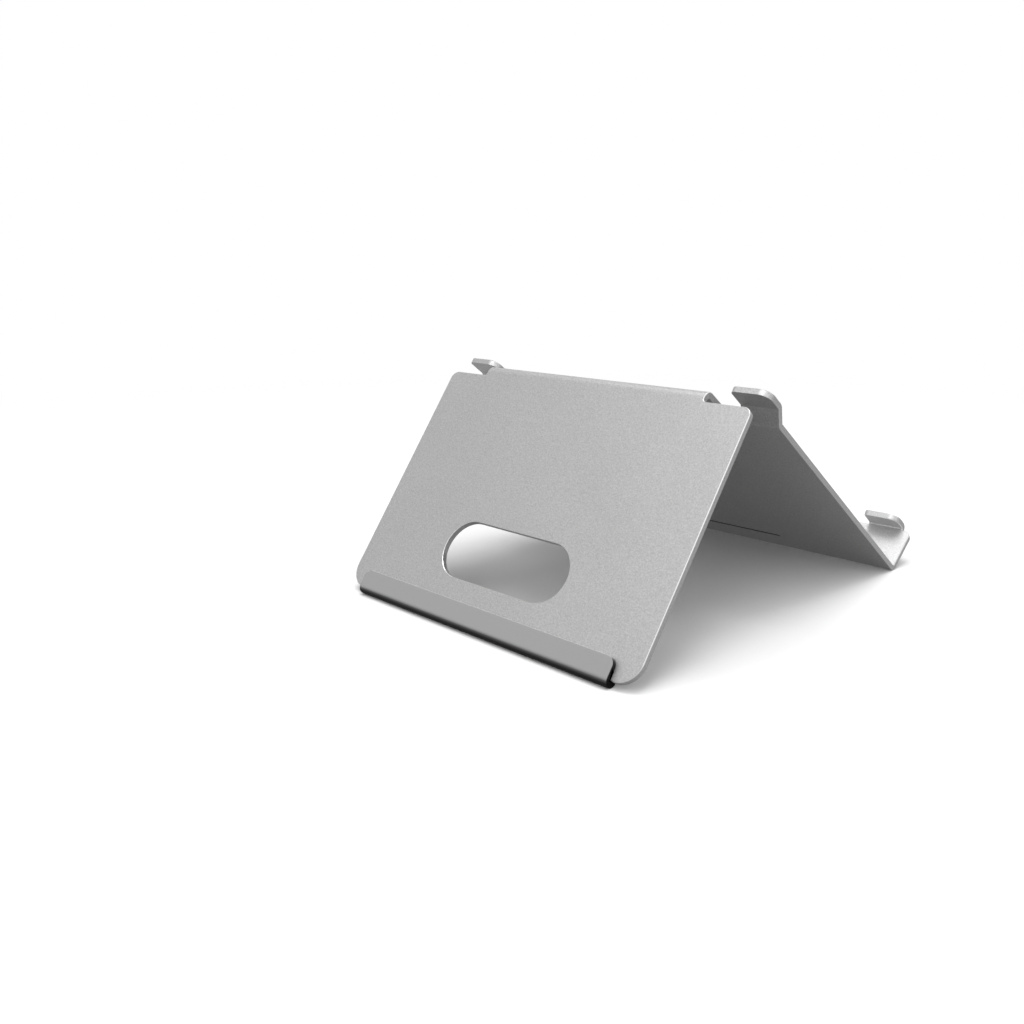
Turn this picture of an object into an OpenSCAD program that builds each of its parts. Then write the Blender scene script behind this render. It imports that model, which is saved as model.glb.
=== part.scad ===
// Desk stand for a tablet or wall-panel sized screen.
// One sheet of aluminium folded into a tent: a device plate with hooks and a
// ledge in front, and a rear leg with a cable slot that stands on a rubber foot.
//
// The sheet is drawn flat in its own frame and tilted once at the end:
//   X across the stand, Y up the device plate, Z out of the device face,
//   with the ridge (where the two outer faces would meet) on the X axis.
// After the tilt the desk is the plane Z = 0 and the device faces -Y.

/* [Sheet] */
// Width of the stand
stand_w = 154; // [150:1:220]
// Thickness of the sheet
sheet_t = 2.5; // [2:0.1:3]
// Angle between the device plate and the desk
tilt = 36; // [32:1:40]
// Length of the device face, from the ridge to the ledge
face_run = 153.4; // [130:0.2:200]
// Inner radius of the fold at the ridge
ridge_r = 1.5; // [1:0.1:2]
// Inner radius of the small folds
fold_r = 0.5; // [0.3:0.1:0.8]

/* [Rear leg] */
// Width of the tab that joins leg and plate over the ridge
tab_w = 112.4; // [90:0.2:114]
// Radius of the inside corners at the foot of the tab
relief_r = 1.4; // [0.8:0.1:1.8]
// Radius of the leg's top corners
leg_top_r = 3.5; // [1:0.5:6]
// Radius of the leg's bottom corners
leg_bottom_r = 9; // [4:0.5:9]

/* [Cable slot] */
// Length of the slot, end to end
slot_len = 65; // [40:1:90]
// Height of the slot
slot_w = 24.2; // [14:0.2:28]
// Distance from the leg's bottom edge up to the middle of the slot
slot_rise = 28.3; // [26:0.1:34]

/* [Device plate] */
// Length of the narrow groove across the inside of the plate
groove_len = 52; // [20:1:100]
// Width of the groove
groove_w = 1.2; // [0.8:0.1:3]
// Depth of the groove
groove_depth = 1.2; // [0.4:0.1:1.5]
// Distance from the ledge up to the groove
groove_rise = 14; // [8:0.5:40]

/* [Top hooks] */
// Width of a top hook
hook_w = 15.8; // [10:0.2:16]
// Distance from the ridge down to where a hook steps out of the plate
hook_root = 21.6; // [21:0.1:26]
// How far a hook steps out in front of the plate
hook_step = 5; // [4:0.1:5.5]
// Angle of the step
hook_angle = 44; // [40:1:50]
// Distance from the ridge down to the top of a hook
hook_top = 5.8; // [4:0.1:6.5]

/* [Ledge] */
// Depth of the ledge that carries the device
ledge_run = 20.6; // [14:0.2:30]
// Angle between the plate and the ledge
ledge_angle = 104; // [95:1:110]
// Radius of the ledge's free corners
ledge_corner_r = 3.5; // [1:0.5:4]
// Height of the catches that stand up at the front of the ledge
catch_h = 9.3; // [8:0.1:14]
// Width of a catch
catch_w = 16.2; // [12:0.2:20]
// Distance from the side of the stand to a catch
catch_inset = 4.4; // [4:0.2:10]

/* [Finger corners] */
// Radius of the tight corner of each hook and catch
tight_r = 2; // [0.5:0.1:2.5]
// Radius of the wide corner of each hook and catch
wide_r = 4.6; // [3:0.1:5]

/* [Rubber foot] */
// Width of the rubber foot
foot_w = 134.8; // [100:0.2:135]
// Thickness of the rubber on the outside of the leg
foot_front = 1.9; // [1.2:0.1:2.5]
// Thickness of the rubber on the inside of the leg
foot_back = 1.2; // [0.8:0.1:2]
// Thickness of the rubber under the edge of the leg
foot_floor = 2.4; // [1.5:0.1:3]
// Height of the outside lip above the edge of the leg
front_lip = 7.7; // [5:0.1:10]
// Height of the inside lip above the edge of the leg
back_lip = 4; // [3:0.1:8]
// Radius of the foot's top corners
lip_r = 3.5; // [1:0.1:4]
// Thickness of the adhesive film behind the outside lip
film_t = 0.15; // [0.1:0.05:0.2]
// Margin of bare rubber round the film
film_margin = 0.8; // [0.5:0.1:1.5]

/* [Hidden] */

$fn = 96;
reach = 20;              // length of a cutter that only has to be long enough
air = 1;                 // how far a cutter stands clear of the sheet
lap = 4;                 // flat that a hook shares with the plate
bend_step = 5;           // largest turn between two points of a fold

ridge_ro = ridge_r + sheet_t;
fold_ro = fold_r + sheet_t;
leg_shoulder = ridge_ro + relief_r + 0.2;
hook_bend = hook_root + fold_r * tan(hook_angle / 2);
gap_floor = hook_root + fold_ro;
hook_x = stand_w / 2 - hook_w / 2;
catch_x = stand_w / 2 - catch_inset - catch_w / 2;

// The turns of the sheet and the flat that each one takes from its inner face.
ledge_turn = 180 - ledge_angle;
ledge_set = fold_r * tan(ledge_turn / 2);
catch_set = fold_r * tan(ledge_angle / 2);
ledge_flat = ledge_run - catch_set;

// Centre of the fold under the ledge, and of the fold under a catch, as [Y, Z].
ledge_root = [-face_run, 0];
ledge_tip = ledge_root + ledge_run * heading(ledge_angle);
ledge_fold_at = ledge_root + [ledge_set, fold_r];
catch_fold_at = ledge_root + ledge_flat * heading(ledge_angle) - fold_r * left_of(ledge_angle);
catch_base = (ledge_flat + ledge_run) / 2 * sin(ledge_angle);

// Direction that an angle faces, and the direction to its left.
function heading(a) = [cos(a), sin(a)];
function left_of(a) = [-sin(a), cos(a)];

// Tilted height and depth of a point [Y, Z] of the sheet, measured from the ridge.
function height_of(p) = p[0] * sin(tilt) + p[1] * cos(tilt);
function depth_of(p) = p[0] * cos(tilt) - p[1] * sin(tilt);

// The ledge fold and the rubber foot touch the desk together, which sets the leg.
foot_r = (film_t + foot_front + sheet_t + foot_back) / 2;
foot_y = film_t + foot_front - foot_r;
desk_drop = fold_ro - height_of(ledge_fold_at);
foot_z = -(desk_drop - foot_r + foot_y * sin(tilt)) / cos(tilt);
leg_len = foot_r - foot_floor - foot_z;

// Middle of the whole stand from front to back.
front_y = depth_of(catch_fold_at) - fold_ro;
back_y = depth_of([foot_y, foot_z]) + foot_r;
middle_y = (front_y + back_y) / 2;

sheet_grey = [0.72, 0.72, 0.73];
rubber_grey = [0.16, 0.16, 0.17];
film_white = [0.92, 0.92, 0.88];

// Stands the tilted sheet on the desk, centred over the origin.
module standing() {
    translate([0, -middle_y, desk_drop]) rotate([tilt, 0, 0]) children();
}

// Extrudes a side view, drawn as Y and Z, across the stand.
module across(width) {
    rotate([90, 0, 90]) linear_extrude(width, center = true) children();
}

// Turns an outline drawn as X and Z into a panel on the leg, from depth y0 forwards.
module on_leg(thickness, y0 = 0) {
    translate([0, y0, 0]) rotate([90, 0, 0]) linear_extrude(thickness) children();
}

// What a rounded corner takes off a square one, with the corner at the origin.
module corner_waste(r) {
    difference() {
        translate([-air, -air]) square(r + air);
        translate([r, r]) circle(r);
    }
}

// Rectangle on the X axis, centred, with the radius of its two top corners.
module panel(w, h, r) {
    difference() {
        translate([-w / 2, 0]) square([w, h]);
        for (side = [0, 1]) mirror([side, 0]) translate([w / 2, h]) rotate(180) corner_waste(r);
    }
}

// Obround centred on the origin.
module obround(length, width) {
    straight = length - width;
    square([straight, width], center = true);
    for (side = [-1, 1]) translate([side * straight / 2, 0]) circle(d = width);
}

// Slot that opens upwards and ends in a half circle at the given depth.
module open_slot(width, depth) {
    translate([-width / 2, width / 2 - depth]) square([width, depth]);
    translate([0, width / 2 - depth]) circle(d = width);
}

// One side of a bent strip as points, set off to the left of its line. Each step is
// [flat length, turn after it, inner radius]. A left turn is positive, and the last is 0.
function strip_side(steps, off, at, facing, i = 0) =
    let (
        turn = steps[i][1],
        flat_end = at + steps[i][0] * heading(facing),
        to_centre = turn > 0 ? steps[i][2] + sheet_t : -steps[i][2],
        centre = flat_end + to_centre * left_of(facing),
        parts = ceil(abs(turn) / bend_step)
    )
    turn == 0 ? [flat_end + off * left_of(facing)] : concat(
        [for (k = [0:parts]) centre + (off - to_centre) * left_of(facing + turn * k / parts)],
        strip_side(steps, off, centre - to_centre * left_of(facing + turn), facing + turn, i + 1)
    );

// Side view of a bent strip. Its right side starts at a point, facing a direction.
module bent_strip(steps, at, facing) {
    right = strip_side(steps, 0, at, facing);
    left = strip_side(steps, sheet_t, at, facing);
    back = [for (i = [len(left) - 1:-1:0]) left[i]];
    polygon(concat([at], right, back, [at + sheet_t * left_of(facing)]));
}

// Side view of the whole sheet but the hooks: up the leg, over the ridge, down the
// plate, out along the ledge and up a catch. Both ends are left long.
module sheet_side() {
    bent_strip(
        [
            [leg_len + air - ridge_ro, 90, ridge_r],
            [face_run - ledge_set - ridge_ro, -ledge_turn, fold_r],
            [ledge_flat - ledge_set, -ledge_angle, fold_r],
            [catch_h + air - catch_set, 0, 0]
        ],
        [0, -leg_len - air], 90
    );
}

// Cut from the leg, seen from behind: what is too long, the shoulders beside the tab
// with their inside corners, and the four outside corners.
module leg_waste() {
    shoulder_w = (stand_w - tab_w) / 2;
    translate([-stand_w / 2 - air, -leg_len - reach]) square([stand_w + 2 * air, reach]);
    for (side = [0, 1]) mirror([side, 0]) {
        translate([tab_w / 2, -leg_shoulder]) difference() {
            square([shoulder_w + air, leg_shoulder + air]);
            corner_waste(relief_r);
        }
        translate([stand_w / 2, -leg_shoulder]) rotate(180) corner_waste(leg_top_r);
        translate([stand_w / 2, -leg_len]) mirror([1, 0]) corner_waste(leg_bottom_r);
    }
}

// Cut from the plate, seen from the front: the gaps beside the tab and the room for
// the hooks.
module plate_waste() {
    gap_w = stand_w / 2 - hook_w - tab_w / 2;
    for (side = [0, 1]) mirror([side, 0]) {
        translate([tab_w / 2 + gap_w / 2, 0]) open_slot(gap_w, gap_floor);
        translate([stand_w / 2 - hook_w, -hook_bend - lap / 2]) square([hook_w + air, hook_bend]);
    }
}

// Strips beside the two catches, from the X axis up.
module beside_catches(run) {
    between = 2 * catch_x - catch_w;
    translate([-between / 2, 0]) square([between, run]);
    for (side = [0, 1]) mirror([side, 0])
        translate([stand_w / 2 - catch_inset, 0]) square([catch_inset + air, run]);
}

// Cut from the ledge, seen square to it, with its root on the X axis.
module ledge_waste() {
    translate([0, ledge_flat]) beside_catches(reach);
    for (side = [0, 1]) mirror([side, 0])
        translate([stand_w / 2, ledge_flat]) rotate(180) corner_waste(ledge_corner_r);
}

// Cut round the end of a hook or catch, seen from the front, with the end on the X axis.
module finger_waste(w) {
    translate([-w / 2 - air, 0]) square([w + 2 * air, reach]);
    translate([-w / 2, 0]) mirror([0, 1]) corner_waste(wide_r);
    translate([w / 2, 0]) rotate(180) corner_waste(tight_r);
}

// Cut from the strip of the catches, seen from the front.
module catch_waste() {
    translate([0, ledge_tip[0] - reach]) beside_catches(2 * reach);
    for (side = [-1, 1]) translate([side * catch_x, ledge_tip[0] + catch_h]) finger_waste(catch_w);
}

// Hook at the top of the plate: it steps out, then runs up parallel to the plate.
module top_hook() {
    half = tan(hook_angle / 2);
    step_run = hook_step / sin(hook_angle);
    rise = hook_root - step_run * cos(hook_angle) - hook_top;
    difference() {
        across(hook_w) bent_strip(
            [
                [lap, hook_angle, fold_r],
                [step_run - (fold_r + fold_ro) * half, -hook_angle, fold_r],
                [rise + air - fold_ro * half, 0, 0]
            ],
            [-hook_bend - lap, -sheet_t], 0
        );
        translate([0, -hook_top, -reach / 2]) linear_extrude(reach) finger_waste(hook_w);
    }
}

module folded_bracket() {
    through = sheet_t + 2 * air;
    color(sheet_grey) standing() {
        difference() {
            across(stand_w) sheet_side();
            on_leg(hook_root + air, air) leg_waste();
            on_leg(through, air) translate([0, slot_rise - leg_len]) obround(slot_len, slot_w);
            translate([0, 0, -sheet_t - air]) linear_extrude(through) plate_waste();
            translate([0, groove_rise - face_run, -sheet_t - air])
                linear_extrude(air + groove_depth) obround(groove_len, groove_w);
            translate([0, -face_run, 0]) rotate([ledge_angle, 0, 0]) translate([0, 0, -air])
                linear_extrude(through) ledge_waste();
            translate([0, 0, catch_base]) linear_extrude(reach) catch_waste();
        }
        for (side = [-1, 1]) translate([side * hook_x, 0, 0]) top_hook();
    }
}

// Outline of one lip of the foot, from the middle of its round underside up.
module foot_lip(rise, corner_r) {
    translate([0, foot_z]) panel(foot_w, rise - leg_len - foot_z, corner_r);
}

// Channel of rubber over the bottom edge of the leg, with a full round underneath.
module rubber_foot() {
    color(rubber_grey) standing() {
        on_leg(foot_front, film_t + foot_front) foot_lip(front_lip, lip_r);
        on_leg(foot_back, -sheet_t) foot_lip(back_lip, back_lip / 2);
        across(foot_w) difference() {
            translate([foot_y, foot_z]) circle(foot_r);
            translate([-sheet_t, -leg_len]) square([sheet_t + film_t, reach]);
            translate([-reach, foot_z]) square(2 * reach);
        }
    }
}

// Double-sided film that holds the outside lip of the foot to the leg.
module foot_adhesive() {
    color(film_white) standing()
        on_leg(film_t, film_t) translate([0, film_margin - leg_len])
            panel(foot_w - 2 * film_margin, front_lip - 2 * film_margin, lip_r - film_margin);
}

folded_bracket();
rubber_foot();
foot_adhesive();
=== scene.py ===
import math

import bmesh
import bpy
from mathutils import Matrix, Vector
from mathutils.geometry import delaunay_2d_cdt


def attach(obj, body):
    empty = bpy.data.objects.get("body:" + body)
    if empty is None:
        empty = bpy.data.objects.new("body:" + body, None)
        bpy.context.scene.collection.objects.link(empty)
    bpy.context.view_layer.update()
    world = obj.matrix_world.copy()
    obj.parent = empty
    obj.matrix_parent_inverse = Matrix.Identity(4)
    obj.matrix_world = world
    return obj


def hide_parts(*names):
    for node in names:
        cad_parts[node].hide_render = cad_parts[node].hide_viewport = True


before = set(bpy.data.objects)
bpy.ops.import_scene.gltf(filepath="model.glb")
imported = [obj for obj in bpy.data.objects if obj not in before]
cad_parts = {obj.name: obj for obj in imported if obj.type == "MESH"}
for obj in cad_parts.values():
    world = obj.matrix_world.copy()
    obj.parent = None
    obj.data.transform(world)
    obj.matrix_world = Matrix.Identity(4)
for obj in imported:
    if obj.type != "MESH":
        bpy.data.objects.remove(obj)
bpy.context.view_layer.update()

# Desk stand: one aluminium sheet, drawn flat as it is cut and then folded, and a rubber
# foot on the leg's lower edge. Sizes are in millimetres and degrees, as in the design,
# and become metres when a mesh is written.

MM = 0.001

# The sheet
STAND_W = 154.0
SHEET_T = 2.5
TILT = 36.0
FACE_RUN = 153.4
RIDGE_R = 1.5
FOLD_R = 0.5
CHAMFER = 0.28
SLOT_CHAMFER = 0.18
INNER_EDGE = 0.1

# The rear leg, its tab over the ridge and its cable slot
TAB_W = 112.4
SHOULDER = 5.6
RELIEF_R = 1.4
LEG_TOP_R = 3.5
LEG_BOTTOM_R = 9.0
SLOT_LEN = 65.0
SLOT_W = 24.2
SLOT_RISE = 28.3

# The groove across the inside of the plate
GROOVE_LEN = 52.0
GROOVE_W = 1.2
GROOVE_DEPTH = 1.2
GROOVE_RISE = 14.0
GROOVE_EDGE = 0.08

# The hooks, the ledge and its catches
HOOK_W = 15.8
HOOK_ROOT = 21.6
HOOK_STEP = 5.0
HOOK_ANGLE = 44.0
HOOK_TOP = 5.8
LEDGE_RUN = 20.6
LEDGE_ANGLE = 104.0
LEDGE_CORNER_R = 3.5
CATCH_H = 9.3
CATCH_W = 16.2
CATCH_INSET = 4.4
TIGHT_R = 2.0
WIDE_R = 4.6

# The rubber foot
FOOT_W = 134.8
FOOT_FRONT = 1.9
FOOT_BACK = 1.2
FOOT_FLOOR = 2.4
FRONT_LIP = 7.7
BACK_LIP = 4.0
LIP_R = 3.5
BACK_LIP_R = 2.0
FILM_T = 0.15
FOOT_EDGE = 0.35

# How finely round shapes are cut: parts of an arc, or degrees between its points. The foot
# is cut across at LIP_ANGLES round its lips' corners. Edges under SMOOTH_BELOW look round.
FOLD_STEPS = 12
CORNER_STEP = 6.0
FEWEST_PARTS = 3
ROUND_PARTS = 24
EDGE_PARTS = 4
LIP_ANGLES = range(0, 61, 6)
SMOOTH_BELOW = 32.0

# Points nearer than this are one point. The ledge ends a little before its fold, so that
# its edge and the fold's first row stay apart.
SLIVER = 1e-4
EDGE_GAP = 0.02

# What delaunay_2d_cdt is asked for: polygons that are valid mesh faces
AS_POLYGONS = 4

# The sheet's materials, in the order of its slots. From here on, lengths are in metres,
# tones and roughness go from low to high, and a scale is how often noise repeats in a metre.
BLASTED, BARE_AND_PAINTED_HIGHLIGHT, GROOVE_PAINTED_SHADE = 0, 1, 2
GRAIN_SCALE = 1700
GRAIN_DETAIL = 3.0
GRAIN_MIX = 0.6
GRAIN_REACH = (0.25, 0.75)
GRAIN_HEIGHT = 0.00002
BRIGHT_GRAIN_HEIGHT = GRAIN_HEIGHT / 4
CLOUD_SCALE = 30
BLASTED_TONES = (0.47, 0.69)
BLASTED_ROUGHNESS = (0.48, 0.52)
# Bright: bare metal on the chamfers, and a painted highlight on the ledge's bend.
BARE_AND_PAINTED_HIGHLIGHT_TONES = (0.80, 0.88)
BRIGHT_ROUGHNESS = (0.34, 0.40)
# Dark: painted shade in the groove.
GROOVE_PAINTED_SHADE_TONES = (0.10, 0.18)
DULL_ROUGHNESS = (0.6, 0.7)

# The rubber's skin, and its painted light and shade: grey by how far the surface faces outward
# and up, near black where it faces down and in
SKIN_SCALE = 5000
SKIN_HEIGHT = 0.00001
RUBBER_PAINTED_LIGHT_AND_SHADE = [(0.0, 0.004), (0.42, 0.015), (0.68, 0.09), (0.82, 0.285), (0.87, 0.32), (1.0, 0.5)]
PAINTED_LIGHT_PATCHES = 0.02
OUTWARD_SHARE = 0.85
RUBBER_ROUGHNESS = (0.36, 0.42)
RUBBER_GLOSS = 0.08

# The adhesive film
FIBRE_SCALE = 900
FIBRE_DETAIL = 4.0
FIBRE_MIX = 0.7
FIBRE_HEIGHT = 0.00002
FILM_TONES = ((0.66, 0.65, 0.60), (0.78, 0.77, 0.73))
FILM_ROUGHNESS = (0.45, 0.6)

# Most of what a noise gives lies between these two
NOISE_REACH = (0.3, 0.7)

# The floor: what the camera sees of it, how far out it fades, and what it throws back
FLOOR_HALF = 1.2
FLOOR_CELLS = 8
PAPER_SCALE = 400
PAPER_TONES = (0.88, 0.89)
PAPER_ROUGHNESS = 0.7
FADE_REACH = (0.3, 0.8)
FLOOR_THROWS = 0.32
FLOOR_GLOW = 0.08

# The room's light from below (0) over the horizon (0.5) to straight above (1)
ROOM_LIGHT = [(0.45, 0.0), (0.5, 0.38), (0.6, 0.72), (0.75, 0.65)]

# The softboxes: azimuth, elevation and power in watts. Azimuth 0 is along +X, 90 along +Y.
SOFTBOX_SIZE = 0.8
SOFTBOX_AWAY = 1.6
SOFTBOXES = [
    (0, 90, 11.0),
    (112, 66, 3.6),
    (105, 40, 3.4),
    (105, 20, 1.6),
    (165, 36, 1.2),
    (180, 14, 1.2),
    (225, 60, 1.8),
]

# The camera: its lens and sensor in millimetres, its place, and the way it looks
CAMERA_LENS = 35.0
CAMERA_SENSOR = 36.0
CAMERA_NEAR = 0.01
CAMERA_AT = (-0.25917, 0.33982, 0.14000)
CAMERA_LOOKS = (0.6846, -0.6836, -0.2534)


def heading(a):
    """Unit vector that an angle in degrees faces."""
    return Vector((math.cos(math.radians(a)), math.sin(math.radians(a))))


def left_of(a):
    return heading(a + 90)


# ------------------------------------------------------------------ sizes that follow

RIDGE_RO = RIDGE_R + SHEET_T
FOLD_RO = FOLD_R + SHEET_T
LEDGE_TURN = 180 - LEDGE_ANGLE
LEDGE_SET = FOLD_R * math.tan(math.radians(LEDGE_TURN / 2))
CATCH_SET = FOLD_R * math.tan(math.radians(LEDGE_ANGLE / 2))
LEDGE_FLAT = LEDGE_RUN - CATCH_SET
HOOK_HALF = math.tan(math.radians(HOOK_ANGLE / 2))
HOOK_BEND = HOOK_ROOT + FOLD_R * HOOK_HALF
GAP_FLOOR = HOOK_ROOT + FOLD_RO
STEP_RUN = HOOK_STEP / math.sin(math.radians(HOOK_ANGLE))
HOOK_RISE = HOOK_ROOT - STEP_RUN * math.cos(math.radians(HOOK_ANGLE)) - HOOK_TOP
HOOK_INNER = STAND_W / 2 - HOOK_W
CATCH_OUTER = STAND_W / 2 - CATCH_INSET
CATCH_INNER = CATCH_OUTER - CATCH_W


def height_of(p):
    """Height of a point of the untilted sheet, as (y, z), once the sheet is tilted."""
    return p[0] * math.sin(math.radians(TILT)) + p[1] * math.cos(math.radians(TILT))


def depth_of(p):
    """How far along Y such a point then lies from the ridge."""
    return p[0] * math.cos(math.radians(TILT)) - p[1] * math.sin(math.radians(TILT))


LEDGE_FOLD_AT = (LEDGE_SET - FACE_RUN, FOLD_R)
LEDGE_TIP = Vector((-FACE_RUN, 0)) + LEDGE_FLAT * heading(LEDGE_ANGLE)
CATCH_FOLD_AT = LEDGE_TIP - FOLD_R * left_of(LEDGE_ANGLE)
DESK_DROP = FOLD_RO - height_of(LEDGE_FOLD_AT)
FOOT_R = (FILM_T + FOOT_FRONT + SHEET_T + FOOT_BACK) / 2
FOOT_Y = FILM_T + FOOT_FRONT - FOOT_R
FOOT_RAISED = FOOT_R - FOOT_Y * math.sin(math.radians(TILT))
FOOT_Z = (FOOT_RAISED - DESK_DROP) / math.cos(math.radians(TILT))
LEG_LEN = FOOT_R - FOOT_FLOOR - FOOT_Z
NEAR_END = depth_of(CATCH_FOLD_AT) - FOLD_RO
FAR_END = depth_of((FOOT_Y, FOOT_Z)) + FOOT_R
MIDDLE_Y = (NEAR_END + FAR_END) / 2


def place(x, y, z):
    """A point of the untilted sheet, ridge on the X axis, in the row frame in metres."""
    return Vector((x, depth_of((y, z)) - MIDDLE_Y, height_of((y, z)) + DESK_DROP)) * MM


# ------------------------------------------------------------------ folding

# Each fold as the flat run before it, its turn and its inner radius. The last run is flat.
MAIN_FOLDS = [
    (LEG_LEN - RIDGE_RO, 90.0, RIDGE_R),
    (FACE_RUN - LEDGE_SET - RIDGE_RO, -LEDGE_TURN, FOLD_R),
    (LEDGE_FLAT - LEDGE_SET, -LEDGE_ANGLE, FOLD_R),
    (CATCH_H - CATCH_SET, 0.0, 0.0),
]
HOOK_FOLDS = [
    (0.0, HOOK_ANGLE, FOLD_R),
    (STEP_RUN - (FOLD_R + FOLD_RO) * HOOK_HALF, -HOOK_ANGLE, FOLD_R),
    (HOOK_RISE - FOLD_RO * HOOK_HALF, 0.0, 0.0),
]


def fold_length(turn, r):
    """Length that a fold takes from the flat sheet, measured along its middle."""
    return math.radians(abs(turn)) * (r + SHEET_T / 2)


def developed(folds):
    """Length of the flat sheet that a line of folds takes."""
    return sum(run + fold_length(turn, r) for run, turn, r in folds)


def fold_levels(folds):
    """Distances along the flat sheet at which a fold needs a row of points."""
    out = []
    at = 0.0
    for run, turn, r in folds[:-1]:
        at += run
        out += [at + fold_length(turn, r) * k / FOLD_STEPS for k in range(FOLD_STEPS + 1)]
        at += fold_length(turn, r)
    return out


def carried(distance, depth, folds, at, facing, side):
    """Where a point of the flat sheet goes: distance along a line of folds that starts
    at a point facing an angle, and depth to the left (side 1) or right (-1) of it."""
    at = Vector(at)
    for run, turn, r in folds:
        if distance <= run or turn == 0:
            return at + distance * heading(facing) + side * depth * left_of(facing)
        at = at + run * heading(facing)
        distance -= run
        way = math.copysign(1, turn)
        arm = way * (r + SHEET_T if way == side else r)
        centre = at + arm * left_of(facing)
        part = distance / fold_length(turn, r)
        if part < 1:
            return centre + (side * depth - arm) * left_of(facing + turn * part)
        facing += turn
        at = centre - arm * left_of(facing)
        distance -= fold_length(turn, r)
    raise ValueError("the line of folds has no last flat")


# Distances along the flat sheet, from the leg's lower edge
PLATE_START = LEG_LEN - RIDGE_RO + fold_length(90, RIDGE_R)


def on_plate(y):
    """Distance along the flat sheet of a place on the plate, y down from the ridge."""
    return PLATE_START + y - RIDGE_RO


HOOK_START = on_plate(HOOK_BEND)
HOOK_TIP = HOOK_START - developed(HOOK_FOLDS)
LEDGE_BEND = on_plate(FACE_RUN - LEDGE_SET)
LEDGE_START = LEDGE_BEND + fold_length(LEDGE_TURN, FOLD_R)
LEDGE_END = LEDGE_START + LEDGE_FLAT - LEDGE_SET - EDGE_GAP
CATCH_TIP = developed(MAIN_FOLDS)

# Every row of points that the folds need, as (distance, whether it runs across a hook)
FOLD_ROWS = [(v, False) for v in fold_levels(MAIN_FOLDS)]
FOLD_ROWS += [(HOOK_START - v, True) for v in fold_levels(HOOK_FOLDS)]


def in_hook(p):
    """Whether a point of the flat sheet lies in the strip that becomes a hook."""
    past_shoulder = LEG_LEN - SHOULDER + SLIVER < p.y < HOOK_START + SLIVER
    return past_shoulder and abs(p.x) > HOOK_INNER - SLIVER


def folded(p, depth):
    """A point of the flat sheet in the row frame. Depth 0 is the outer, device side."""
    if in_hook(p):
        y, z = carried(HOOK_START - p.y, depth, HOOK_FOLDS, (-HOOK_BEND, 0), 0, -1)
    else:
        y, z = carried(p.y, depth, MAIN_FOLDS, (0, -LEG_LEN), 90, 1)
    return place(p.x, y, z)


# ------------------------------------------------------------------ flat outlines


def rounded(corners, step=CORNER_STEP):
    """Outline through corners, each rounded with an arc. A corner is its x, its distance
    along the sheet and its radius."""
    out = []
    for i, (x, v, r) in enumerate(corners):
        here = Vector((x, v))
        back = Vector(corners[i - 1][:2]) - here
        ahead = Vector(corners[(i + 1) % len(corners)][:2]) - here
        if r == 0:
            out.append(here)
            continue
        back.normalize()
        ahead.normalize()
        turn = math.degrees(back.angle(ahead))
        reach = r / math.tan(math.radians(turn / 2))
        centre = here + (back + ahead).normalized() * (r / math.sin(math.radians(turn / 2)))
        start = here + back * reach - centre
        sweep = math.copysign(180 - turn, ahead.cross(back))
        parts = max(FEWEST_PARTS, math.ceil(abs(sweep) / step))
        for k in range(parts + 1):
            a = math.radians(sweep * k / parts)
            out.append(centre + Matrix.Rotation(a, 2) @ start)
    return out


def obround(length, width, v):
    """A slot with round ends across the sheet, its middle at the distance v along it."""
    x, r = length / 2, width / 2
    corners = [(-x, v - r, r), (-x, v + r, r), (x, v + r, r), (x, v - r, r)]
    return rounded(corners, CORNER_STEP / 2)


def blank_outlines():
    """The blank as it is cut: the outside and the slot, with the sheet on the left."""
    half = STAND_W / 2
    tab = TAB_W / 2
    top = LEG_LEN - SHOULDER
    gap = on_plate(GAP_FLOOR)
    gap_r = (HOOK_INNER - tab) / 2
    outside = [
        (half, 0, LEG_BOTTOM_R),
        (half, top, LEG_TOP_R),
        (tab, top, RELIEF_R),
        (tab, gap, gap_r),
        (HOOK_INNER, gap, gap_r),
        (HOOK_INNER, HOOK_TIP, WIDE_R),
        (half, HOOK_TIP, TIGHT_R),
        (half, LEDGE_END, LEDGE_CORNER_R),
        (CATCH_OUTER, LEDGE_END, 0),
        (CATCH_OUTER, CATCH_TIP, TIGHT_R),
        (CATCH_INNER, CATCH_TIP, WIDE_R),
        (CATCH_INNER, LEDGE_END, 0),
        (-CATCH_INNER, LEDGE_END, 0),
        (-CATCH_INNER, CATCH_TIP, TIGHT_R),
        (-CATCH_OUTER, CATCH_TIP, WIDE_R),
        (-CATCH_OUTER, LEDGE_END, 0),
        (-half, LEDGE_END, LEDGE_CORNER_R),
        (-half, HOOK_TIP, WIDE_R),
        (-HOOK_INNER, HOOK_TIP, TIGHT_R),
        (-HOOK_INNER, gap, gap_r),
        (-tab, gap, gap_r),
        (-tab, top, RELIEF_R),
        (-half, top, LEG_TOP_R),
        (-half, 0, LEG_BOTTOM_R),
    ]
    return [rounded(outside), obround(SLOT_LEN, SLOT_W, SLOT_RISE)]


def without_repeats(points):
    return [p for i, p in enumerate(points) if (p - points[i - 1]).length > SLIVER]


def split_at(points, rows):
    """Adds a point wherever a straight side of the outline crosses a fold row."""
    out = []
    for p, q in zip(points, points[1:] + points[:1]):
        out.append(p)
        low, high = sorted((p.y, q.y))
        met = []
        for v, hook in rows:
            if low + SLIVER < v < high - SLIVER:
                part = (v - p.y) / (q.y - p.y)
                if in_hook(p.lerp(q, part)) == hook:
                    met.append(part)
        out += [p.lerp(q, part) for part in sorted(met)]
    return out


def inset(points, by):
    """The outline moved towards its left side, which is the material."""
    out = []
    for i, p in enumerate(points):
        come = (p - points[i - 1]).normalized()
        go = (points[(i + 1) % len(points)] - p).normalized()
        left_behind = Vector((-come.y, come.x))
        left_ahead = Vector((-go.y, go.x))
        out.append(p + (left_behind + left_ahead) * (by / (1 + left_behind.dot(left_ahead))))
    return out


# ------------------------------------------------------------------ the folded sheet


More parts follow.
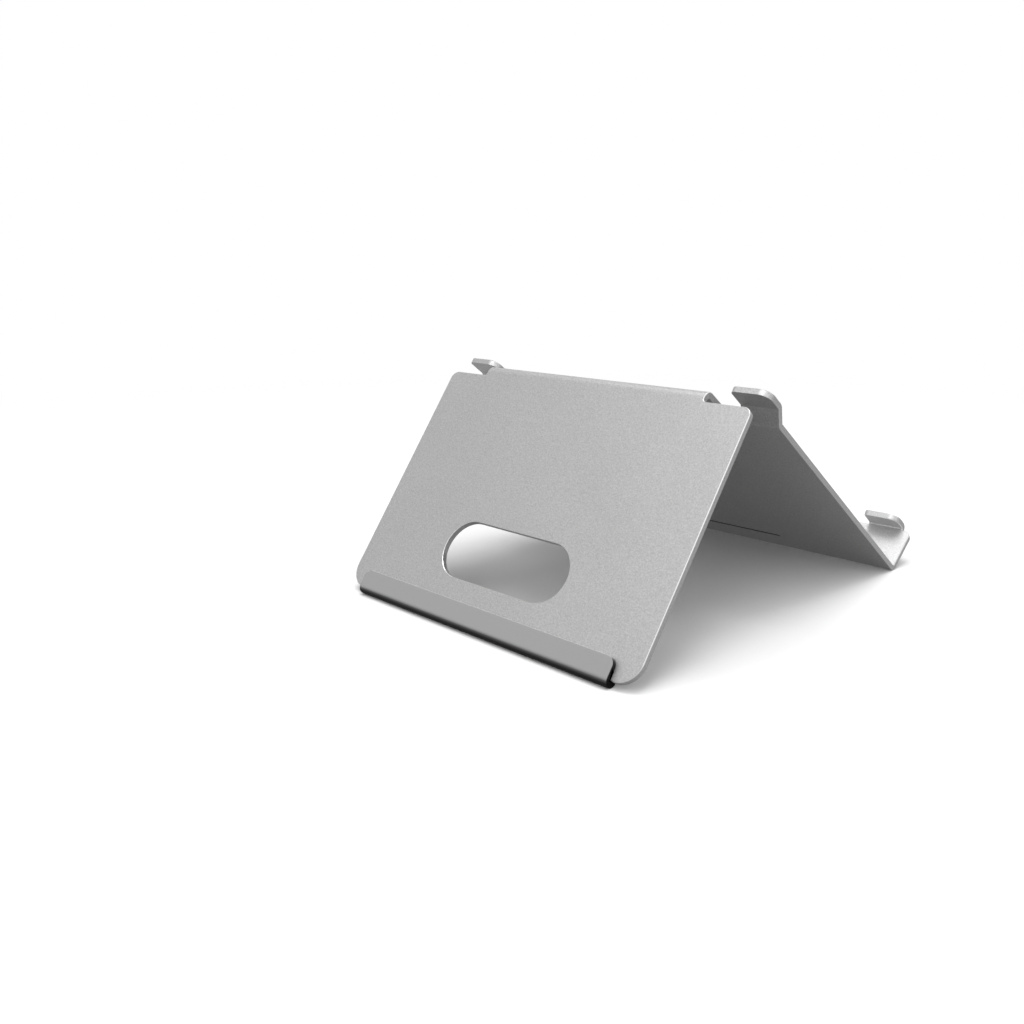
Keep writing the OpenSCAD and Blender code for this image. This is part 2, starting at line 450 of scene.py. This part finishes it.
def finished(name, bm):
    """Turns a bmesh into a piece on the frame's one body."""
    bmesh.ops.recalc_face_normals(bm, faces=bm.faces)
    mesh = bpy.data.meshes.new(name)
    bm.to_mesh(mesh)
    bm.free()
    mesh.shade_smooth()
    mesh.set_sharp_from_angle(angle=math.radians(SMOOTH_BELOW))
    obj = bpy.data.objects.new(name, mesh)
    bpy.context.scene.collection.objects.link(obj)
    evened = obj.modifiers.new("flat_faces_stay_flat", "WEIGHTED_NORMAL")
    evened.keep_sharp = True
    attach(obj, "root")
    return obj


def joined(bm, low, high, material=0):
    """A band of faces between two closed rings of vertices."""
    for i in range(len(low)):
        face = bm.faces.new((low[i - 1], low[i], high[i], high[i - 1]))
        face.material_index = material


def walls(bm, outline, rings, materials):
    """Walls between the rings of an outline, each ring (inset, depth) and each wall of
    its own material. Returns each ring's vertices."""
    made = [[bm.verts.new(folded(p, depth)) for p in inset(outline, by)] for by, depth in rings]
    for low, high, material in zip(made, made[1:], materials):
        joined(bm, low, high, material)
    return made


def rows_across(flat):
    """Edges over the flat sheet that join the points of one fold row."""
    lines = []
    for v, hook in FOLD_ROWS:
        row = [i for i, p in enumerate(flat) if abs(p.y - v) < SLIVER and in_hook(p) == hook]
        row.sort(key=lambda i: flat[i].x)
        lines += list(zip(row[::2], row[1::2]))
    return lines


def cover(bm, loops, painted_highlight_span=(0, 0)):
    """One side of the sheet, between its loops, each (flat points, vertices). Between the two
    distances along the sheet that the last argument gives, it takes the bright material: a
    painted highlight."""
    flat, verts, edges, loop_of = [], [], [], []
    for points, made in loops:
        start, n = len(flat), len(points)
        flat += points
        verts += made
        loop_of += [start] * n
        edges += [(start + i, start + (i + 1) % n) for i in range(n)]
    edges += rows_across(flat)
    faces, origin = delaunay_2d_cdt(flat, edges, [], AS_POLYGONS, SLIVER / 10)[2:4]
    for face in faces:
        corners = [origin[i][0] for i in face]
        around = {loop_of[i] for i in corners}
        if around == {0} or len(around) > 1:
            made = bm.faces.new([verts[i] for i in corners])
            middle = sum(flat[i].y for i in corners) / len(corners)
            made.material_index = BARE_AND_PAINTED_HIGHLIGHT if painted_highlight_span[0] < middle < painted_highlight_span[1] else BLASTED


def folded_sheet():
    """The whole sheet, cut from the blank, chamfered along every edge and folded."""
    bm = bmesh.new()
    outer, inner = [], []
    for outline, cut in zip(blank_outlines(), (CHAMFER, SLOT_CHAMFER)):
        outline = split_at(without_repeats(outline), FOLD_ROWS)
        through = [(cut, 0), (0, cut), (0, SHEET_T - INNER_EDGE), (INNER_EDGE, SHEET_T)]
        made = walls(bm, outline, through, (BARE_AND_PAINTED_HIGHLIGHT, BLASTED, BLASTED))
        outer.append((inset(outline, cut), made[0]))
        inner.append((inset(outline, INNER_EDGE), made[-1]))
    groove = without_repeats(obround(GROOVE_LEN, GROOVE_W, on_plate(FACE_RUN - GROOVE_RISE)))
    sunk = [(GROOVE_EDGE, SHEET_T), (0, SHEET_T - GROOVE_EDGE), (0, SHEET_T - GROOVE_DEPTH)]
    # The groove's walls and floor take the dark material: painted shade in the recess.
    made = walls(bm, groove, sunk, (GROOVE_PAINTED_SHADE, GROOVE_PAINTED_SHADE))
    bm.faces.new(made[-1]).material_index = GROOVE_PAINTED_SHADE
    inner.append((inset(groove, GROOVE_EDGE), made[0]))
    cover(bm, outer)
    # The bend into the ledge takes the bright material here: a painted highlight.
    cover(bm, inner, (LEDGE_BEND, LEDGE_START))
    return bm


# ------------------------------------------------------------------ the rubber foot


def arc(centre, r, start, end, parts):
    return [centre + r * heading(start + (end - start) * k / parts) for k in range(parts + 1)]


def lip_drop(x, r):
    """How much lower a lip is at x, where its top corner is rounded."""
    past = abs(x) - (FOOT_W / 2 - r)
    return r - math.sqrt(max(0, r * r - past * past)) if past > 0 else 0


def lip_top(outer, inner, top):
    """Rounded top of a lip from its outer to its inner side, both given as y."""
    way = math.copysign(1, inner - outer)
    first_at = Vector((outer + way * FOOT_EDGE, top - FOOT_EDGE))
    last_at = Vector((inner - way * FOOT_EDGE, top - FOOT_EDGE))
    first = arc(first_at, FOOT_EDGE, 90 + way * 90, 90, EDGE_PARTS)
    last = arc(last_at, FOOT_EDGE, 90, 90 - way * 90, EDGE_PARTS)
    return first + last


def foot_section(x):
    """Outline of the foot cut across at x, counterclockwise as (y, z)."""
    floor = -LEG_LEN
    front = floor + FRONT_LIP - lip_drop(x, LIP_R)
    back = floor + BACK_LIP - lip_drop(x, BACK_LIP_R)
    round_under = arc(Vector((FOOT_Y, FOOT_Z)), FOOT_R, -180, 0, ROUND_PARTS)
    front_top = lip_top(FILM_T + FOOT_FRONT, FILM_T, front)
    channel = [Vector((FILM_T, floor)), Vector((-SHEET_T, floor))]
    back_top = list(reversed(lip_top(-SHEET_T - FOOT_BACK, -SHEET_T, back)))
    return round_under + front_top + channel + back_top


def foot_stations():
    """Where the foot is cut across, from end to end, as (x, how far the outline is inset)."""
    half = FOOT_W / 2
    straight = half - LIP_R
    stations = [(straight + LIP_R * math.sin(math.radians(a)), 0) for a in LIP_ANGLES]
    for k in range(EDGE_PARTS + 1):
        a = math.radians(90 * k / EDGE_PARTS)
        stations.append((half - FOOT_EDGE * (1 - math.sin(a)), FOOT_EDGE * (1 - math.cos(a))))
    return [(-x, by) for x, by in reversed(stations)] + stations


def foot_channel():
    """The foot, lofted from end to end, with its lips' corners and its ends rounded."""
    bm = bmesh.new()
    rings = []
    for x, by in foot_stations():
        section = inset(foot_section(x), by)
        rings.append([bm.verts.new(place(x, p.x, p.y)) for p in section])
    for low, high in zip(rings, rings[1:]):
        joined(bm, low, high)
    for ring in (rings[0], rings[-1]):
        bm.faces.new(ring)
    return bm


# ------------------------------------------------------------------ shader nodes


def new_material(name):
    """A material, its node tree and its Principled shader."""
    mat = bpy.data.materials.new(name)
    mat.use_nodes = True
    tree = mat.node_tree
    return mat, tree, tree.nodes["Principled BSDF"]


def row_frame(tree):
    """The node for places and directions in the row frame: every mesh sits at its origin."""
    node = tree.nodes.get("row") or tree.nodes.new("ShaderNodeTexCoord")
    node.name = "row"
    return node


def noise(tree, scale, detail=2.0, mix=0.5):
    """Noise over the row frame. Mix is how strongly its finer layers show."""
    node = tree.nodes.new("ShaderNodeTexNoise")
    node.inputs["Scale"].default_value = scale
    node.inputs["Detail"].default_value = detail
    node.inputs["Roughness"].default_value = mix
    tree.links.new(row_frame(tree).outputs["Object"], node.inputs["Vector"])
    return node.outputs["Fac"]


def ramp(tree, value, stops):
    """Colour or grey by a value, from (position, colour) stops."""
    node = tree.nodes.new("ShaderNodeValToRGB")
    band = node.color_ramp
    while len(band.elements) < len(stops):
        band.elements.new(0.5)
    for element, (at, colour) in zip(band.elements, stops):
        element.position = at
        element.color = (*colour, 1)
    tree.links.new(value, node.inputs["Fac"])
    return node.outputs["Color"]


def spread(tree, value, target=(0, 1), source=NOISE_REACH):
    """A value carried from the source's range to the target's, and held at its ends."""
    node = tree.nodes.new("ShaderNodeMapRange")
    node.inputs["From Min"].default_value = source[0]
    node.inputs["From Max"].default_value = source[1]
    node.inputs["To Min"].default_value = target[0]
    node.inputs["To Max"].default_value = target[1]
    tree.links.new(value, node.inputs["Value"])
    return node.outputs["Result"]


def bump(tree, height, distance):
    node = tree.nodes.new("ShaderNodeBump")
    node.inputs["Distance"].default_value = distance
    tree.links.new(height, node.inputs["Height"])
    return node.outputs["Normal"]


def maths(tree, operation, value, number, added=None):
    """A value and a number put through one operation, and what MULTIPLY_ADD adds."""
    node = tree.nodes.new("ShaderNodeMath")
    node.operation = operation
    node.inputs[1].default_value = number
    tree.links.new(value, node.inputs[0])
    if added is not None:
        tree.links.new(added, node.inputs[2])
    return node.outputs["Value"]


def mixed(tree, share, first, second):
    """The first shader where the share is 0 and the second where it is 1."""
    node = tree.nodes.new("ShaderNodeMixShader")
    tree.links.new(share, node.inputs["Fac"])
    tree.links.new(first, node.inputs[1])
    tree.links.new(second, node.inputs[2])
    return node.outputs["Shader"]


def grey(v):
    return (v, v, v)


def greys(stops):
    """Stops of a ramp from (position, brightness) pairs."""
    return [(at, grey(v)) for at, v in stops]


# ------------------------------------------------------------------ materials


def aluminium(name, tones, roughness, grain_height):
    """Aluminium with an even, fine grain and faint broad clouds in its gloss."""
    mat, tree, shader = new_material(name)
    grain = noise(tree, GRAIN_SCALE, GRAIN_DETAIL, GRAIN_MIX)
    clouds = noise(tree, CLOUD_SCALE)
    tone = ramp(tree, grain, greys(zip(GRAIN_REACH, tones)))
    tree.links.new(tone, shader.inputs["Base Color"])
    tree.links.new(spread(tree, clouds, roughness), shader.inputs["Roughness"])
    tree.links.new(bump(tree, grain, grain_height), shader.inputs["Normal"])
    shader.inputs["Metallic"].default_value = 1.0
    return mat


def sandblasted_aluminium():
    return aluminium("sandblasted_aluminium", BLASTED_TONES, BLASTED_ROUGHNESS, GRAIN_HEIGHT)


def bare_edges_and_painted_highlight():
    """Bare and smoother: the chamfers, cut after blasting. The bend that rests on the desk
    gets the same bright tone as a painted highlight."""
    return aluminium("bare_edges_and_painted_highlight", BARE_AND_PAINTED_HIGHLIGHT_TONES, BRIGHT_ROUGHNESS, BRIGHT_GRAIN_HEIGHT)


def groove_painted_shade():
    """The groove: painted dark as painted shade in the recess, and rough."""
    return aluminium("groove_painted_shade", GROOVE_PAINTED_SHADE_TONES, DULL_ROUGHNESS, GRAIN_HEIGHT)


def how_far_facing(tree, way):
    """Square of how far the surface faces a way: 1 straight, 0 square to it or away."""
    along = tree.nodes.new("ShaderNodeVectorMath")
    along.operation = "DOT_PRODUCT"
    along.inputs[1].default_value = way.normalized()
    tree.links.new(row_frame(tree).outputs["Normal"], along.inputs[0])
    ahead = maths(tree, "MAXIMUM", along.outputs["Value"], 0)
    return maths(tree, "POWER", ahead, 2)


def rubber_with_painted_light_and_shade():
    """Black rubber with a fine matt skin, painted grey where it faces outward and up as painted
    light, and near black underneath as painted shade.
    """
    mat, tree, shader = new_material("rubber_with_painted_light_and_shade")
    skin = noise(tree, SKIN_SCALE)
    outward = how_far_facing(tree, place(0, 1, 0) - place(0, 0, 0))
    upward = how_far_facing(tree, place(0, 0, 1) - place(0, 0, 0))
    both = maths(tree, "MULTIPLY_ADD", outward, OUTWARD_SHARE, upward)
    patchy = maths(tree, "MULTIPLY_ADD", skin, PAINTED_LIGHT_PATCHES, both)
    # Painted light and shade: grey on the faces turned outward and up, near black underneath.
    tree.links.new(ramp(tree, patchy, greys(RUBBER_PAINTED_LIGHT_AND_SHADE)), shader.inputs["Base Color"])
    tree.links.new(spread(tree, skin, RUBBER_ROUGHNESS), shader.inputs["Roughness"])
    tree.links.new(bump(tree, skin, SKIN_HEIGHT), shader.inputs["Normal"])
    shader.inputs["Specular IOR Level"].default_value = RUBBER_GLOSS
    return mat


def film_adhesive():
    """Milky tape with a soft, slightly uneven surface."""
    mat, tree, shader = new_material("adhesive_film")
    fibres = noise(tree, FIBRE_SCALE, FIBRE_DETAIL, FIBRE_MIX)
    tone = ramp(tree, fibres, list(zip(NOISE_REACH, FILM_TONES)))
    tree.links.new(tone, shader.inputs["Base Color"])
    tree.links.new(spread(tree, fibres, FILM_ROUGHNESS), shader.inputs["Roughness"])
    tree.links.new(bump(tree, fibres, FIBRE_HEIGHT), shader.inputs["Normal"])
    return mat


def studio_paper():
    """White paper with a barely visible tooth, which fades into white light far out. That
    is what the camera sees. What it throws onto the stand is darker, and partly a glow
    that no shadow dims."""
    mat, tree, shader = new_material("studio_paper")
    tooth = noise(tree, PAPER_SCALE)
    tone = ramp(tree, tooth, greys(zip(NOISE_REACH, PAPER_TONES)))
    tree.links.new(tone, shader.inputs["Base Color"])
    shader.inputs["Roughness"].default_value = PAPER_ROUGHNESS
    shader.inputs["Specular IOR Level"].default_value = 0
    thrown = tree.nodes.new("ShaderNodeBsdfPrincipled")
    thrown.inputs["Base Color"].default_value = (*grey(FLOOR_THROWS), 1)
    thrown.inputs["Specular IOR Level"].default_value = 0
    thrown.inputs["Emission Color"].default_value = (*grey(1), 1)
    thrown.inputs["Emission Strength"].default_value = FLOOR_GLOW
    light = tree.nodes.new("ShaderNodeEmission")
    path = tree.nodes.new("ShaderNodeLightPath")
    faded = mixed(tree, distance_out(tree), shader.outputs["BSDF"], light.outputs["Emission"])
    seen = mixed(tree, path.outputs["Is Camera Ray"], thrown.outputs["BSDF"], faded)
    tree.links.new(seen, tree.nodes["Material Output"].inputs["Surface"])
    return mat


def distance_out(tree):
    """0 on the floor near the stand and 1 where the floor has faded into light."""
    away = tree.nodes.new("ShaderNodeVectorMath")
    away.operation = "LENGTH"
    tree.links.new(row_frame(tree).outputs["Object"], away.inputs[0])
    return spread(tree, away.outputs["Value"], source=FADE_REACH)


# ------------------------------------------------------------------ the pieces

bracket = finished("bracket_sheet", folded_sheet())
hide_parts("folded_bracket")
bracket.data.materials.append(sandblasted_aluminium())
bracket.data.materials.append(bare_edges_and_painted_highlight())
bracket.data.materials.append(groove_painted_shade())

foot = finished("foot_rubber_channel", foot_channel())
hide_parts("rubber_foot")
foot.data.materials.append(rubber_with_painted_light_and_shade())

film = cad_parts["foot_adhesive"]
film.material_slots[0].link = "OBJECT"
film.material_slots[0].material = film_adhesive()


# ------------------------------------------------------------------ floor, light, camera


def studio_floor():
    """A large flat floor, made of a grid so that it isn't one single face."""
    bm = bmesh.new()
    bmesh.ops.create_grid(bm, x_segments=FLOOR_CELLS, y_segments=FLOOR_CELLS, size=FLOOR_HALF)
    mesh = bpy.data.meshes.new("floor")
    bm.to_mesh(mesh)
    bm.free()
    floor = bpy.data.objects.new("floor", mesh)
    bpy.context.scene.collection.objects.link(floor)
    mesh.materials.append(studio_paper())


def softbox(azimuth, elevation, power):
    """A square area light that faces the stand."""
    light = bpy.data.lights.new("softbox", "AREA")
    light.shape = "SQUARE"
    light.size = SOFTBOX_SIZE
    light.energy = power
    obj = bpy.data.objects.new("softbox", light)
    raised = Matrix.Rotation(math.radians(-elevation), 3, "Y") @ Vector((1, 0, 0))
    out = Matrix.Rotation(math.radians(azimuth), 3, "Z") @ raised
    obj.location = out * SOFTBOX_AWAY
    obj.rotation_euler = (-out).to_track_quat("-Z", "Y").to_euler()
    bpy.context.scene.collection.objects.link(obj)


def white_room():
    """A room that is pure white to look at. Its light is nearly even overhead, falls off
    near the horizon and is dark below it."""
    world = bpy.data.worlds.new("room")
    world.use_nodes = True
    tree = world.node_tree
    split = tree.nodes.new("ShaderNodeSeparateXYZ")
    tree.links.new(row_frame(tree).outputs["Generated"], split.inputs["Vector"])
    rise = spread(tree, split.outputs["Z"], source=(-1, 1))
    lights_with = tree.nodes["Background"]
    tree.links.new(ramp(tree, rise, greys(ROOM_LIGHT)), lights_with.inputs["Color"])
    lights_with.inputs["Strength"].default_value = 1
    looks = tree.nodes.new("ShaderNodeBackground")
    looks.inputs["Color"].default_value = (*grey(1), 1)
    path = tree.nodes.new("ShaderNodeLightPath")
    camera_ray = path.outputs["Is Camera Ray"]
    seen = mixed(tree, camera_ray, lights_with.outputs["Background"], looks.outputs["Background"])
    tree.links.new(seen, tree.nodes["World Output"].inputs["Surface"])
    bpy.context.scene.world = world


def photo_camera():
    """The camera behind the stand, to one side and above it."""
    data = bpy.data.cameras.new("camera")
    data.lens = CAMERA_LENS
    data.sensor_width = CAMERA_SENSOR
    data.clip_start = CAMERA_NEAR
    camera = bpy.data.objects.new("camera", data)
    camera.location = CAMERA_AT
    camera.rotation_euler = Vector(CAMERA_LOOKS).to_track_quat("-Z", "Y").to_euler()
    bpy.context.scene.collection.objects.link(camera)
    bpy.context.scene.camera = camera


studio_floor()
white_room()
for azimuth, elevation, power in SOFTBOXES:
    softbox(azimuth, elevation, power)
photo_camera()
bpy.context.scene.view_settings.view_transform = "Standard"
